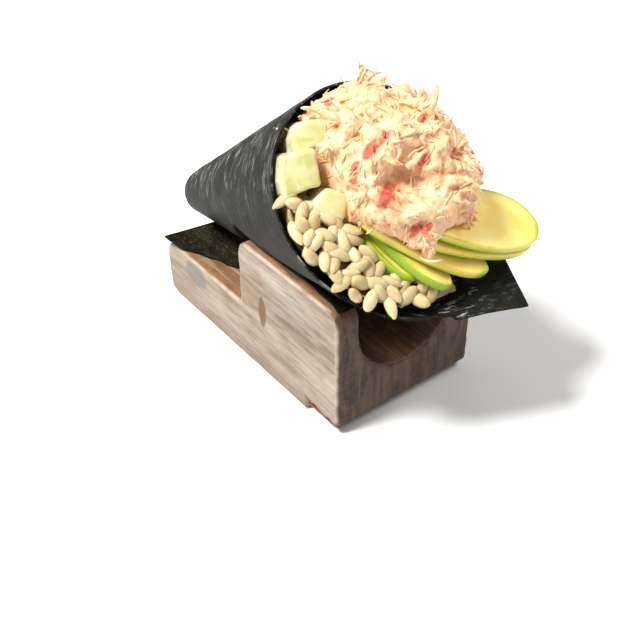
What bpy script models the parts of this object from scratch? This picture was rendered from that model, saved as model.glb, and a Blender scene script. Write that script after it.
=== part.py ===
"""Temaki hand roll lying in its wooden stand.

Metres, +Z up. The origin is the centre of the stand's footprint, on the table. The mouth of the
roll faces -Y and looks up, the narrow tip points to +Y and overhangs the low end of the stand.
"""
import math

import bmesh
import bpy
from mathutils import Matrix, Vector, noise

MM = 0.001
GAP = 0.35 * MM

# Wooden stand: a high block with a round-bottomed groove, and a low step behind it.
STAND_WIDTH = 47.0 * MM
STAND_LENGTH = 83.0 * MM
STAND_HEIGHT = 40.0 * MM
STEP_LENGTH = 39.8 * MM
STEP_HEIGHT = 18.7 * MM
GROOVE_RADIUS = 16.2 * MM
GROOVE_AXIS_HEIGHT = 31.0 * MM
CORNER_RADIUS = 4.5 * MM
EDGE_BEVEL = 0.5 * MM

# Seaweed sheet: a flat rectangle rolled into a cone. Distances along the sheet are from the apex.
SHEET = 0.5 * MM
APEX = Vector((-6.9, 70.6, 14.7)) * MM
CONE_YAW = math.radians(2.0)
CONE_PITCH = math.radians(25.5)
CONE_HALF_ANGLE = math.radians(13.8)
RIM_DISTANCE = 107.8 * MM
RIM_NEAREST = 1.30
TIP_DISTANCE = 27.5 * MM
TIP_ROUNDNESS = 0.5
INNER_CORNER = 2.8
INNER_END = 4.55
LAYER_STEP = 1.3 * MM
BOTTOM = -math.pi / 2

# The loose corner of the sheet, which lies flat on the right of the mouth.
FLAP_CORNER = Vector((15.2, -66.8)) * MM
FLAP_BACK_CORNER = Vector((37.5, -24.0)) * MM
FLAP_ROOT = Vector((20.5, 0.5)) * MM
FLAP_HEIGHT = 41.7 * MM
FLAP_DROOP = 0.07

# The second sheet, which lies between the roll and the wood.
LEAF = 0.4 * MM
LEAF_RIGHT = 22.0 * MM
LEAF_FRONT = -40.5 * MM
LEAF_CORNER = Vector((-25.5, 39.0)) * MM
LEAF_BACK_SLOPE = -0.12

# Mouth of the roll: its centre and the plane that it lies in.
MOUTH = Vector((-3.4, -33.0, 62.5)) * MM
MOUTH_NORMAL = Vector((-0.08, -0.70, 0.71)).normalized()
MOUTH_RIGHT = (Vector((1.0, 0.0, 0.0)) - MOUTH_NORMAL * MOUTH_NORMAL.x).normalized()
MOUTH_UP = MOUTH_NORMAL.cross(MOUTH_RIGHT)

# Cucumber sticks at the left of the mouth: the millimetres right, up and out of its centre to the
# middle of the end, then the width and height of the end, and its turn in degrees.
STICK_DEPTH = 20 * MM
STICKS = (
    (-11.6, 18.2, 6.0, 5.4, 6.2, -16),
    (-18.0, 11.4, 6.0, 6.4, 8.8, -10),
    (-14.4, 1.6, 5.0, 6.2, 6.2, -38),
)

# Avocado slices, fanned like a hand of cards: in the plane of each, the millimetres right and up
# from the pivot to the tip, then its heading in degrees, length and width. The lowest comes first.
FAN_PIVOT = Vector((-9.7, -27.3, 57.2)) * MM
FAN_NORMAL = Vector((0.25, -0.45, 0.86)).normalized()
SLICE = 2.4 * MM
FAN = (
    (1.2, -16.2, -66, 17, 8),
    (1.2, -24.4, -76, 22, 9),
    (7.0, -30.0, -68, 30, 11),
    (18.8, -30.4, -41, 36, 12.5),
    (37.4, -27.2, -19, 44, 17.5),
    (39.0, -25.0, -17, 40, 22),
)

COLOURS = {
    "wood": ((0.47, 0.38, 0.30), 0.75),
    "nori": ((0.015, 0.018, 0.014), 0.45),
    "nori_flat": ((0.022, 0.026, 0.015), 0.6),
    "rice": ((0.78, 0.72, 0.58), 0.4),
    "crab": ((0.90, 0.62, 0.43), 0.55),
    "cucumber": ((0.66, 0.72, 0.42), 0.3),
    "avocado": ((0.80, 0.72, 0.22), 0.45),
}


def clear_scene():
    for obj in list(bpy.data.objects):
        bpy.data.objects.remove(obj, do_unlink=True)


def new_collection(name, hidden=False):
    collection = bpy.data.collections.new(name)
    bpy.context.scene.collection.children.link(collection)
    collection.hide_render = hidden
    return collection


def material(name):
    """One plain material for each sub-part."""
    colour, roughness = COLOURS[name]
    made = bpy.data.materials.new(name)
    made.use_nodes = True
    shader = made.node_tree.nodes["Principled BSDF"]
    shader.inputs["Base Color"].default_value = (*colour, 1.0)
    shader.inputs["Roughness"].default_value = roughness
    shader.inputs["Metallic"].default_value = 0.0
    return made


def add_object(name, shape, collection, slot=None):
    """Puts a bmesh into the scene as a named object, shaded smooth except at its sharp edges."""
    bmesh.ops.recalc_face_normals(shape, faces=shape.faces[:])
    mesh = bpy.data.meshes.new(name)
    shape.to_mesh(mesh)
    shape.free()
    obj = bpy.data.objects.new(name, mesh)
    collection.objects.link(obj)
    if slot:
        mesh.materials.append(MATERIALS[slot])
    mesh.shade_smooth()
    mesh.set_sharp_from_angle(angle=math.radians(40))
    if collection is CUTTERS:
        obj.hide_render = True
        obj.display_type = "WIRE"
    return obj


def boolean(obj, other, operation):
    modifier = obj.modifiers.new(operation.lower(), "BOOLEAN")
    modifier.operation = operation
    modifier.object = other
    modifier.solver = "EXACT"


def solidify(obj, thickness, offset):
    modifier = obj.modifiers.new("thickness", "SOLIDIFY")
    modifier.thickness = thickness
    modifier.offset = offset


def bevel(obj, width, segments, angle=30):
    modifier = obj.modifiers.new("worn edges", "BEVEL")
    modifier.width = width
    modifier.segments = segments
    modifier.limit_method = "ANGLE"
    modifier.angle_limit = math.radians(angle)
    modifier.harden_normals = False


def smooth_step(low, high, value):
    t = min(max((value - low) / (high - low), 0.0), 1.0)
    return t * t * (3 - 2 * t)


def soft_min(a, b, width):
    """The smaller of two heights, with the corner between them rounded over the width."""
    h = max(width - abs(a - b), 0.0) / width
    return min(a, b) - h * h * width / 4


def mouth_point(right, up, out=0.0):
    """A point near the mouth, from millimetres to the right, up and out of its plane."""
    return MOUTH + (MOUTH_RIGHT * right + MOUTH_UP * up + MOUTH_NORMAL * out) * MM


# ---------------------------------------------------------------- stand

def round_corners(outline, radius, steps):
    """A closed 2D outline with its convex corners rounded."""
    done = []
    for i, corner in enumerate(outline):
        before = (outline[i - 1] - corner).normalized()
        after = (outline[(i + 1) % len(outline)] - corner).normalized()
        if before.cross(after) > 0:
            done.append(corner)
            continue
        middle = corner + (before + after) * radius
        for k in range(steps + 1):
            turn = math.pi / 2 * k / steps
            done.append(middle - before * radius * math.sin(turn) - after * radius * math.cos(turn))
    return done


def stand_body():
    """The side outline of the block, with rounded corners, made as wide as the stand."""
    front = -STAND_LENGTH / 2
    back = STAND_LENGTH / 2
    step = back - STEP_LENGTH
    outline = [
        Vector((front, 0.0)),
        Vector((back, 0.0)),
        Vector((back, STEP_HEIGHT)),
        Vector((step, STEP_HEIGHT)),
        Vector((step, STAND_HEIGHT)),
        Vector((front, STAND_HEIGHT)),
    ]
    shape = bmesh.new()
    corners = [
        shape.verts.new((-STAND_WIDTH / 2, point.x, point.y))
        for point in round_corners(outline, CORNER_RADIUS, 4)
    ]
    side = shape.faces.new(corners)
    grown = bmesh.ops.extrude_face_region(shape, geom=[side])["geom"]
    moved = [item for item in grown if isinstance(item, bmesh.types.BMVert)]
    bmesh.ops.translate(shape, verts=moved, vec=(STAND_WIDTH, 0.0, 0.0))
    return add_object("stand", shape, PARTS, "wood")


def groove_cutter():
    """A long prism with a U-shaped section, which cuts the groove through the whole block."""
    reach = STAND_LENGTH / 2 + 5 * MM
    top = STAND_HEIGHT + 10 * MM
    section = [(GROOVE_RADIUS, top)]
    for k in range(19):
        turn = math.pi * k / 18
        drop = GROOVE_RADIUS * math.sin(turn)
        section.append((GROOVE_RADIUS * math.cos(turn), GROOVE_AXIS_HEIGHT - drop))
    section.append((-GROOVE_RADIUS, top))
    shape = bmesh.new()
    face = shape.faces.new([shape.verts.new((x, -reach, z)) for x, z in section])
    grown = bmesh.ops.extrude_face_region(shape, geom=[face])["geom"]
    moved = [item for item in grown if isinstance(item, bmesh.types.BMVert)]
    bmesh.ops.translate(shape, verts=moved, vec=(0.0, 2 * reach, 0.0))
    return add_object("groove_cutter", shape, CUTTERS)


def make_stand():
    stand = stand_body()
    boolean(stand, groove_cutter(), "DIFFERENCE")
    bevel(stand, EDGE_BEVEL, 1, angle=50)
    return stand


# ---------------------------------------------------------------- cone of seaweed

def cone_frame():
    """Axis from the tip to the mouth, then the directions to the left and up across it."""
    flat = math.cos(CONE_PITCH)
    axis = Vector((math.sin(CONE_YAW) * flat, -math.cos(CONE_YAW) * flat, math.sin(CONE_PITCH)))
    left = axis.cross(Vector((0.0, 0.0, 1.0))).normalized()
    return axis, left, left.cross(axis)


AXIS, LEFT, UP = cone_frame()
UNROLL = math.sin(CONE_HALF_ANGLE)


def cone_point(turn, distance, out=0.0):
    """A point of the cone at an angle about its axis (0 left, pi/2 top, -pi/2 bottom)."""
    across = LEFT * math.cos(turn) + UP * math.sin(turn)
    along = AXIS * math.cos(CONE_HALF_ANGLE) + across * math.sin(CONE_HALF_ANGLE)
    normal = across * math.cos(CONE_HALF_ANGLE) - AXIS * math.sin(CONE_HALF_ANGLE)
    return APEX + along * distance + normal * out


def tip_point(turn, bend, out=0.0):
    """A point of the round tip. A bend of 0 joins the cone, pi/2 is the end of the tip."""
    centre = APEX + AXIS * TIP_DISTANCE / math.cos(CONE_HALF_ANGLE)
    radius = TIP_DISTANCE * math.tan(CONE_HALF_ANGLE) + out
    across = LEFT * math.cos(turn) + UP * math.sin(turn)
    tilt = CONE_HALF_ANGLE + bend
    start = math.sin(CONE_HALF_ANGLE)
    drop = start + (math.sin(tilt) - start) * TIP_ROUNDNESS
    return centre + (across * math.cos(tilt) - AXIS * drop) * radius


def rim_distance(turn):
    """The rim is a straight edge of the flat sheet, so it is nearest the apex at one angle."""
    straight = RIM_DISTANCE / math.cos(UNROLL * (turn - RIM_NEAREST))
    return straight - 6.0 * MM * smooth_step(-1.0, -1.6, turn)


def sheet_end(turn):
    """How far from the apex the sheet reaches: to its rim, or to its hidden inner edge."""
    if turn <= INNER_CORNER:
        return rim_distance(turn)
    inner_edge = RIM_DISTANCE * math.tan(UNROLL * (INNER_CORNER - RIM_NEAREST))
    return inner_edge / math.sin(UNROLL * (turn - RIM_NEAREST))


def cone_underside(x, y):
    """Height of the lower side of the cone above a point of the table, or far up beside it."""
    aside = Vector((x - APEX.x, y - APEX.y, 0.0))
    widening = 1 / math.cos(CONE_HALF_ANGLE) ** 2
    along = aside.dot(AXIS)
    a = 1 - AXIS.z * AXIS.z * widening
    b = -along * AXIS.z * widening
    c = aside.length_squared - along * along * widening
    inside = b * b - a * c
    if inside < 0 or along < 0:
        return 1.0
    return APEX.z + (-b - math.sqrt(inside)) / a


def rest_on_stand(point, ease=4.6 * MM):
    """Pushes a point of the sheet up and out of the wood, so that the cone sags into the groove.
    The ease is how far in front of the groove's edge the sheet starts to bend down."""
    inside = STAND_LENGTH / 2
    clear = STAND_HEIGHT + 1.4 * MM
    needed = clear - max(GROOVE_RADIUS - ease - abs(point.x), 0.0) * 2.0
    needed -= max(point.y - (inside - STEP_LENGTH) - ease, 0.0) * 2.2
    needed -= max(-inside - 0.6 * MM - point.y, 0.0) * 1.6
    if abs(point.x) > STAND_WIDTH / 2 + 12 * MM:
        return point
    return Vector((point.x, point.y, max(point.z, needed)))


def flap_surface(x, y):
    """The sheet right of its lowest line: under the roll a cone, and flat beyond it."""
    front = -STAND_LENGTH / 2
    shelf = FLAP_HEIGHT - max(front - y, 0.0) * FLAP_DROOP
    return soft_min(cone_underside(x, y), shelf, 2.5 * MM)


def flap_boundary(t):
    """Plan outline of the loose corner, from where it leaves the roll to its front corner."""
    if t < 0.42:
        return FLAP_ROOT.lerp(FLAP_BACK_CORNER, t / 0.42)
    return FLAP_BACK_CORNER.lerp(FLAP_CORNER, (t - 0.42) / 0.58)


ROWS = 16
TIP_ROWS = 3
CONE_COLUMNS = 36
FLAP_COLUMNS = 10


def layer_inset(turn):
    """The hidden inner end of the sheet runs inside the outer layer."""
    return -LAYER_STEP * smooth_step(2.9, 3.7, turn)


def wrap_point(turn, row, out):
    if row < TIP_ROWS:
        return tip_point(turn, math.radians(66) * (1 - row / TIP_ROWS), out)
    share = (row - TIP_ROWS) / ROWS
    distance = TIP_DISTANCE + (sheet_end(turn) - TIP_DISTANCE) * share
    return cone_point(turn, distance, out)


def flap_point(u, row):
    """A point of the sheet past its lowest line. It hugs the roll near the tip and opens out
    into the flat loose corner near the mouth."""
    hugging = wrap_point(BOTTOM - 0.75 * u, row, 0.0)
    base = wrap_point(BOTTOM, row, 0.0)
    share = max(row - TIP_ROWS - 7, 0) / (ROWS - 7)
    plan = Vector((base.x, base.y)).lerp(flap_boundary(share), u)
    height = flap_surface(plan.x, plan.y)
    height += (base.z - cone_underside(base.x, base.y)) * (1 - u) ** 2
    flat = Vector((plan.x, plan.y, height))
    return hugging.lerp(flat, smooth_step(TIP_ROWS + 4, TIP_ROWS + 8, row))


def skin_grid(shape, grid):
    for first, second in zip(grid, grid[1:]):
        for row in range(len(first) - 1):
            shape.faces.new((first[row], first[row + 1], second[row + 1], second[row]))


def make_wrap():
    """The sheet as a grid from its inner end, over the top, down the left side and under the roll
    to the loose corner on the right, then given its thickness."""
    shape = bmesh.new()
    grid = []
    rows = range(TIP_ROWS + ROWS + 1)
    for column in range(CONE_COLUMNS + 1):
        turn = INNER_END + (BOTTOM - INNER_END) * column / CONE_COLUMNS
        points = [rest_on_stand(wrap_point(turn, row, layer_inset(turn))) for row in rows]
        grid.append([shape.verts.new(point) for point in points])
    for column in range(1, FLAP_COLUMNS + 1):
        points = [rest_on_stand(flap_point(column / FLAP_COLUMNS, row)) for row in rows]
        grid.append([shape.verts.new(point) for point in points])
    skin_grid(shape, grid)
    wrap = add_object("nori_wrap", shape, PARTS, "nori")
    solidify(wrap, SHEET, -1.0)
    return wrap


# ---------------------------------------------------------------- the sheet under the roll

def leaf_left(y):
    """The left edge of the lower sheet: further in on the high block and at the drop."""
    drop = STAND_LENGTH / 2 - STEP_LENGTH
    inward = 7.0 * MM * math.exp(-(((y - drop - 13 * MM) / (15 * MM)) ** 2))
    bare_wood = 2.0 * MM + 2.3 * MM * smooth_step(LEAF_FRONT, -5 * MM, y)
    inward += bare_wood * smooth_step(20 * MM, 5 * MM, y)
    return -23.6 * MM + inward - 2.0 * MM * smooth_step(25 * MM, 39 * MM, y)


def leaf_rest(y):
    """Height at which the sheet lies on the high part, hangs down, and lies on the low step."""
    drop = STAND_LENGTH / 2 - STEP_LENGTH
    high = STAND_HEIGHT + GAP + LEAF
    low = STEP_HEIGHT + GAP + LEAF
    if y < drop + 1.0 * MM:
        return high - 1.2 * MM * smooth_step(LEAF_FRONT + 4 * MM, LEAF_FRONT, y)
    hang = high - (y - drop - 1.0 * MM) * 2.1
    curl = 2.2 * MM * smooth_step(30 * MM, 42 * MM, y)
    return -soft_min(-hang, -low, 4 * MM) + curl


def under_wrap(x, y):
    """Height that the underside of the roll leaves free."""
    above = cone_underside(x, y)
    if x > APEX.x - (y - APEX.y) * 0.035:
        above = flap_surface(x, y) if y < 2 * MM else above
    if above > 0.5:
        return above
    return rest_on_stand(Vector((x, y, above)), 1.4 * MM).z


def leaf_top(x, y):
    step = 0.5 * MM
    free = under_wrap(x, y)
    slope = (under_wrap(x + step, y) - under_wrap(x - step, y)) / (2 * step)
    steepness = math.sqrt(1 + min(abs(slope), 4.0) ** 2)
    return min(leaf_rest(y), free - 0.6 * MM * steepness)


def make_leaf():
    """The lower sheet as a grid in plan, laid over the wood and pressed into the groove."""
    shape = bmesh.new()
    grid = []
    columns = 18
    rows = 20
    for i in range(columns + 1):
        u = i / columns
        points = []
        for j in range(rows + 1):
            v = j / rows
            back = LEAF_CORNER.y + (LEAF_RIGHT - LEAF_CORNER.x) * u * LEAF_BACK_SLOPE
            y = LEAF_FRONT + (back - LEAF_FRONT) * v
            x = leaf_left(y) * (1 - u) + LEAF_RIGHT * u
            points.append(shape.verts.new((x, y, leaf_top(x, y))))
        grid.append(points)
    skin_grid(shape, grid)
    leaf = add_object("nori_leaf", shape, PARTS, "nori_flat")
    solidify(leaf, LEAF, -1.0)
    return leaf


# ---------------------------------------------------------------- what fills the roll

def across_cone(point):
    """Angle about the cone's axis, distance from the apex along it, and room left to the wall."""
    offset = point - APEX
    along = offset.dot(AXIS)
    aside = offset - AXIS * along
    turn = math.atan2(aside.dot(UP), aside.dot(LEFT))
    room = along * math.tan(CONE_HALF_ANGLE) - aside.length
    return turn, along / math.cos(CONE_HALF_ANGLE), room * math.cos(CONE_HALF_ANGLE)


def inside_wrap(point, spare=1.5 * MM):
    """Whether a point is inside the rolled sheet, or beyond its rim, with room to spare."""
    turn, distance, room = across_cone(point)
    if turn < BOTTOM:
        turn += 2 * math.pi
    needed = SHEET + spare
    if distance > TIP_DISTANCE * 2 and turn > INNER_CORNER + 0.6:
        needed += LAYER_STEP
    if turn > INNER_CORNER and distance > sheet_end(turn) + 2 * MM:
        needed -= (distance - sheet_end(turn) - 2 * MM) * 0.4
    if room < needed:
        return False
    floor = rest_on_stand(Vector((point.x, point.y, 0.0)), 9.0 * MM).z
    surface = flap_surface(point.x, point.y)
    return point.z > max(floor + 1.5 * MM, surface) + SHEET + 1.6 * spare


def grow_body(name, slot, centre, reach, allowed, subdivisions):
    """A closed body grown out of a centre: as far as reach() says in each direction, but only while
    allowed() says that the point is free."""
    shape = bmesh.new()
    bmesh.ops.create_icosphere(shape, subdivisions=subdivisions, radius=1.0)
    for corner in shape.verts:
        direction = corner.co.normalized()
        low, high = 0.0, reach(direction)
        if not allowed(centre + direction * high):
            for _ in range(24):
                middle = (low + high) / 2
                if allowed(centre + direction * middle):
                    low = middle
                else:
                    high = middle
            high = low
        corner.co = centre + direction * high
    return add_object(name, shape, PARTS, slot)


def split_side(point):
    """Distance of a point above the slope which parts the crab from the rice below and left. The
    slope rises towards the tip, which is full of rice."""
    local = point - MOUTH
    right = local.dot(MOUTH_RIGHT)
    up = local.dot(MOUTH_UP)
    out = local.dot(MOUTH_NORMAL)
    rise = 0.6 if out < 0 else 0.2
    return right * 0.72 + up * 0.69 + out * rise + 11 * MM


def make_rice():
    centre = mouth_point(-14, -15, -6)

    def reach(direction):
        out = direction.dot(MOUTH_NORMAL)
        deep = 8.5 if out > 0 else 9.0 + 55.0 * out * out
        spread = math.sqrt(1 - out * out)
        wide = deep / max(abs(out), deep / 28.0 * max(spread, 0.1))
        return (min(wide, 28.0 + max(-out, 0.0) * 36.0) + 0.7 * noise.noise(direction * 5.0)) * MM

    def allowed(point):
        beside = (point - MOUTH).dot(MOUTH_RIGHT) - 6 * MM
        return inside_wrap(point) and split_side(point) + max(beside, 0.0) < -0.2 * MM

    return grow_body("rice", "rice", centre, reach, allowed, 4)


def make_crab():
    centre = mouth_point(3, 3, 0)

    def reach(direction):
        out = direction.dot(MOUTH_NORMAL)
        right = direction.dot(MOUTH_RIGHT)
        up = direction.dot(MOUTH_UP)
        heap = 19.5 + 4.0 * max(-up, 0.0)
        heap += 2.2 * noise.noise(direction * 2.5) + 1.2 * noise.noise(direction * 6.0)
        inside = 30.0 + 10.0 * max(-out, 0.0) - 9.5 * smooth_step(0.1, 0.7, right)
        return (inside + (heap - inside) * smooth_step(-0.1, 0.25, out)) * MM

    def allowed(point):
        return inside_wrap(point) and split_side(point) > 0.2 * MM

    return grow_body("crab_salad", "crab", centre, reach, allowed, 4)


def box_between(name, matrix, size, collection, slot=None):
    shape = bmesh.new()
    bmesh.ops.create_cube(shape, size=1.0)
    bmesh.ops.scale(shape, vec=size, verts=shape.verts)
    bmesh.ops.transform(shape, matrix=matrix, verts=shape.verts)
    return add_object(name, shape, collection, slot)


def stick_frame(place):
    """Axes of one cucumber stick, which runs into the roll along its nearest wall."""
    right, up, out, _, _, turn = place
    seat = mouth_point(right, up, out)
    inward = (cone_point(0.35, 30 * MM) - cone_point(0.35, RIM_DISTANCE)).normalized()
    wide = (MOUTH_RIGHT - inward * MOUTH_RIGHT.dot(inward)).normalized()
    wide = Matrix.Rotation(math.radians(turn), 3, -inward) @ wide
    tall = inward.cross(wide)
    return seat, inward, wide, tall


def stick_box(name, place, grow, collection, slot=None):
    seat, inward, wide, tall = stick_frame(place)
    length = STICK_DEPTH + place[2] * MM + 2 * grow
    middle = seat + inward * (length / 2 - grow)
    axes = Matrix((wide, tall, inward)).transposed().to_4x4()
    axes.translation = middle
    size = (place[3] * MM + 2 * grow, place[4] * MM + 2 * grow, length)
    return box_between(name, axes, size, collection, slot)


def slice_outline(length, width, grow):
    """An avocado slice seen from above: blunt and wide near its tip, narrow at the other end."""
    outline = []
    for k in range(22):
        turn = 2 * math.pi * k / 22
        x = length / 2 * (math.cos(turn) - 1)
        y = width / 2 * math.sin(turn) * (0.85 + 0.15 * math.cos(turn))
        away = Vector((x + length / 2, y * 2)).normalized() * grow
        outline.append(Vector((x, y)) + away)
    return outline


def slice_plate(name, place, layer, grow, collection, slot=None):
    right, up, heading, length, width = place
    base = (Vector((1.0, 0.0, 0.0)) - FAN_NORMAL * FAN_NORMAL.x).normalized()
    side = FAN_NORMAL.cross(base)
    along = base * math.cos(math.radians(heading)) + side * math.sin(math.radians(heading))
    across = FAN_NORMAL.cross(along)
    lift = FAN_NORMAL * ((SLICE + GAP) * layer - grow)
    tip = FAN_PIVOT + (base * right + side * up) * MM + lift
    shape = bmesh.new()
    outline = slice_outline(length * MM, width * MM, grow)
    corners = [shape.verts.new(tip + along * point.x + across * point.y) for point in outline]
    face = shape.faces.new(corners)
    grown = bmesh.ops.extrude_face_region(shape, geom=[face])["geom"]
    moved = [item for item in grown if isinstance(item, bmesh.types.BMVert)]
    bmesh.ops.translate(shape, verts=moved, vec=FAN_NORMAL * (SLICE + 2 * grow))
    return add_object(name, shape, collection, slot)


def make_fillings():
    rice = make_rice()
    crab = make_crab()
    for k, place in enumerate(STICKS):
        stick = stick_box(f"cucumber_stick_{k + 1}", place, 0.0, PARTS, "cucumber")
        bevel(stick, 0.6 * MM, 1)
        cutter = stick_box(f"stick_cutter_{k + 1}", place, GAP, CUTTERS)
        boolean(rice, cutter, "DIFFERENCE")
        boolean(crab, cutter, "DIFFERENCE")
    for layer, place in enumerate(FAN):
        slice_plate(f"avocado_slice_{layer + 1}", place, layer, 0.0, PARTS, "avocado")
        cutter = slice_plate(f"slice_cutter_{layer + 1}", place, layer, GAP, CUTTERS)
        boolean(rice, cutter, "DIFFERENCE")
        boolean(crab, cutter, "DIFFERENCE")


MATERIALS = {}
PARTS = None
CUTTERS = None

clear_scene()
MATERIALS.update({name: material(name) for name in COLOURS})
PARTS = new_collection("temaki_hand_roll")
CUTTERS = new_collection("cutters", hidden=True)
make_stand()
make_wrap()
make_leaf()
make_fillings()
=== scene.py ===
# %% [markdown]
# # Temaki hand roll in its wooden stand
# A hand roll is a cone rolled from one sheet of toasted seaweed and filled with rice, cucumber,
# shredded crab salad and a fan of avocado. It lies mouth up in a grooved block of wood.
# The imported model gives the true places. This lesson puts the food's real surface around it.

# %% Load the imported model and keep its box
import math

import bmesh
import bpy
from mathutils import Matrix, Vector, noise


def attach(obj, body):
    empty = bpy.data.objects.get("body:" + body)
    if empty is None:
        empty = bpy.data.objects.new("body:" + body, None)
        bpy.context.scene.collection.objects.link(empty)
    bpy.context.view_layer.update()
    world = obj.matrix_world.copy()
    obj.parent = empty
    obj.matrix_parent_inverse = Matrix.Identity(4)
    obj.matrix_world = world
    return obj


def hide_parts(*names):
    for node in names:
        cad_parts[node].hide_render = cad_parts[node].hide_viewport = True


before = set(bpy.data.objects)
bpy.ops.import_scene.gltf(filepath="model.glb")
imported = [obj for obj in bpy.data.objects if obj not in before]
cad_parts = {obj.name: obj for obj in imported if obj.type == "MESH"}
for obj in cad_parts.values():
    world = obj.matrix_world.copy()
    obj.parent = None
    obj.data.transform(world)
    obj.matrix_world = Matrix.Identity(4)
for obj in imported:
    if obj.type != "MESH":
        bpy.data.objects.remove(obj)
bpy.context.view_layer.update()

MM = 0.001
print("nodes:", ", ".join(sorted(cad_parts)))

# %% [markdown]
# ## Node trees as Python expressions
# A material or a geometry tree is a page of boxes and links, which is slow to read as code. One
# small class wraps an output socket, so that a + b or 1 - mask adds the Math node it needs.
# Colours go through Mix nodes, because a Math node would turn them grey.

# %% A wrapped socket and a tree that makes them
def math_node(operation, swapped=False):
    """A method of a socket that adds a Math node."""
    def method(self, other):
        values = (other, self) if swapped else (self, other)
        return self.net.add("ShaderNodeMath", {"operation": operation}, values)
    return method


class Socket:
    """An output socket that can be used in sums."""

    __add__ = __radd__ = math_node("ADD")
    __sub__ = math_node("SUBTRACT")
    __rsub__ = math_node("SUBTRACT", swapped=True)
    __mul__ = __rmul__ = math_node("MULTIPLY")
    __truediv__ = math_node("DIVIDE")
    least = math_node("MINIMUM")

    def __init__(self, net, out):
        self.net = net
        self.out = out

    def size(self):
        return self.net.add("ShaderNodeMath", {"operation": "ABSOLUTE"}, [self])

    def ramp(self, low, high):
        """0 below low, 1 above high, smooth between."""
        smooth = {"interpolation_type": "SMOOTHSTEP"}
        return self.net.add("ShaderNodeMapRange", smooth, (self, low, high))


class Net:
    """A node tree that is written from left to right."""

    def __init__(self, tree):
        self.tree = tree

    def feed(self, socket, value):
        """Links a wrapped socket, or sets a plain value."""
        if isinstance(value, Socket):
            self.tree.links.new(value.out, socket)
        else:
            socket.default_value = value

    def add(self, kind, settings=None, values=(), out=0):
        """Adds a node: its settings first, then the values or links of its sockets."""
        node = self.tree.nodes.new(kind)
        for key, value in (settings or {}).items():
            setattr(node, key, value)
        for key, value in values.items() if isinstance(values, dict) else enumerate(values):
            self.feed(node.inputs[key], value)
        return Socket(self, node.outputs[out]) if node.outputs else None

    def mix(self, factor, a, b):
        return self.add("ShaderNodeMix", {"data_type": "RGBA"}, {0: factor, 6: a, 7: b}, out=2)

    def place(self):
        return self.add("ShaderNodeTexCoord", out=3)

    def facing(self):
        return self.separate(self.add("ShaderNodeNewGeometry", out=1))

    def attribute(self, name):
        return self.add("ShaderNodeAttribute", {"attribute_name": name}, out=2)

    def separate(self, vector):
        node = self.add("ShaderNodeSeparateXYZ", None, [vector]).out.node
        return [Socket(self, out) for out in node.outputs]

    def scaled(self, vector, *factors):
        return self.add("ShaderNodeVectorMath", {"operation": "MULTIPLY"}, [vector, factors])

    def noise(self, vector, scale, detail=3.0, roughness=0.5, distortion=0.0):
        values = {"Vector": vector, "Scale": scale, "Detail": detail, "Roughness": roughness}
        return self.add("ShaderNodeTexNoise", None, {**values, "Distortion": distortion})

    def bump(self, height, strength, depth):
        values = {"Strength": strength, "Distance": depth * MM, "Height": height}
        return self.add("ShaderNodeBump", None, values)


def rgba(*screen):
    """A screen colour from 0 to 255 as the linear colour that a shader takes."""
    shares = [value / 255 for value in screen]
    return (*[c / 12.92 if c <= 0.04045 else ((c + 0.055) / 1.055) ** 2.4 for c in shares], 1.0)


def new_finish(name):
    """A new material and its tree, ready for expressions."""
    print("finish:", name)
    made = bpy.data.materials.new(name)
    made.use_nodes = True
    return made, Net(made.node_tree)


def finish(net, colour, roughness, normal=None, constants=None):
    """Wires the Principled shader: what varies comes as links, the rest as numbers."""
    values = {"Base Color": colour, "Roughness": roughness, **(constants or {})}
    if normal:
        values["Normal"] = normal
    for key, value in values.items():
        net.feed(net.tree.nodes["Principled BSDF"].inputs[key], value)


def moist(weight, radius, depth, coat=0.0, coat_roughness=0.03):
    """Shader values of wet food that lets some light in, to a depth in millimetres."""
    return {
        "Subsurface Weight": weight,
        "Subsurface Radius": radius,
        "Subsurface Scale": depth * MM,
        "Coat Weight": coat,
        "Coat Roughness": coat_roughness,
    }

# %% [markdown]
# ## Daylight studio
# The roll stands on a plain pale floor. A lamp high on the left shines on the seaweed's grey
# streaks, which are also painted into its colour as highlight, and leaves the front of the wood in
# shade, as a window would; that front is painted darker as well. A weaker one on the right lights
# the avocado behind the heap. The camera looks down over the left side of the mouth.

# %% Floor, lights and camera
CAMERA_PLACE = Vector((-0.1417, -0.1898, 0.1914))
CAMERA_AZIMUTH = math.radians(-37.35)
CAMERA_ELEVATION = math.radians(38.71)
CAMERA_ROLL = math.radians(-0.43)
CAMERA_LENS = 57.3
# Place, aim, width in metres and power in watts of each light.
LIGHTS = {
    "key": ((-0.31, 0.05, 0.60), (0.0, 0.0, 0.04), 0.16, 6.4),
    "fill": ((0.42, -0.16, 0.45), (0.0, 0.0, 0.05), 0.3, 1.7),
}
WARM_WHITE = (1.0, 0.985, 0.95)
SKY_STRENGTH = 0.30
FLOOR_RADIUS = 2.5


def new_object(name, data):
    made = bpy.data.objects.new(name, data)
    bpy.context.scene.collection.objects.link(made)
    return made


def loose(name, shape):
    """A bmesh as an object that isn't a piece yet."""
    mesh = bpy.data.meshes.new(name)
    shape.to_mesh(mesh)
    shape.free()
    return new_object(name, mesh)


def look_axes(azimuth, elevation, roll):
    """Right, up and back axes of a camera at an azimuth and an elevation."""
    flat = math.cos(elevation)
    back = Vector((math.sin(azimuth) * flat, -math.cos(azimuth) * flat, math.sin(elevation)))
    right = Vector((math.cos(azimuth), math.sin(azimuth), 0.0))
    turned = right * math.cos(roll) + back.cross(right) * math.sin(roll)
    return turned, back.cross(turned), back


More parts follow.
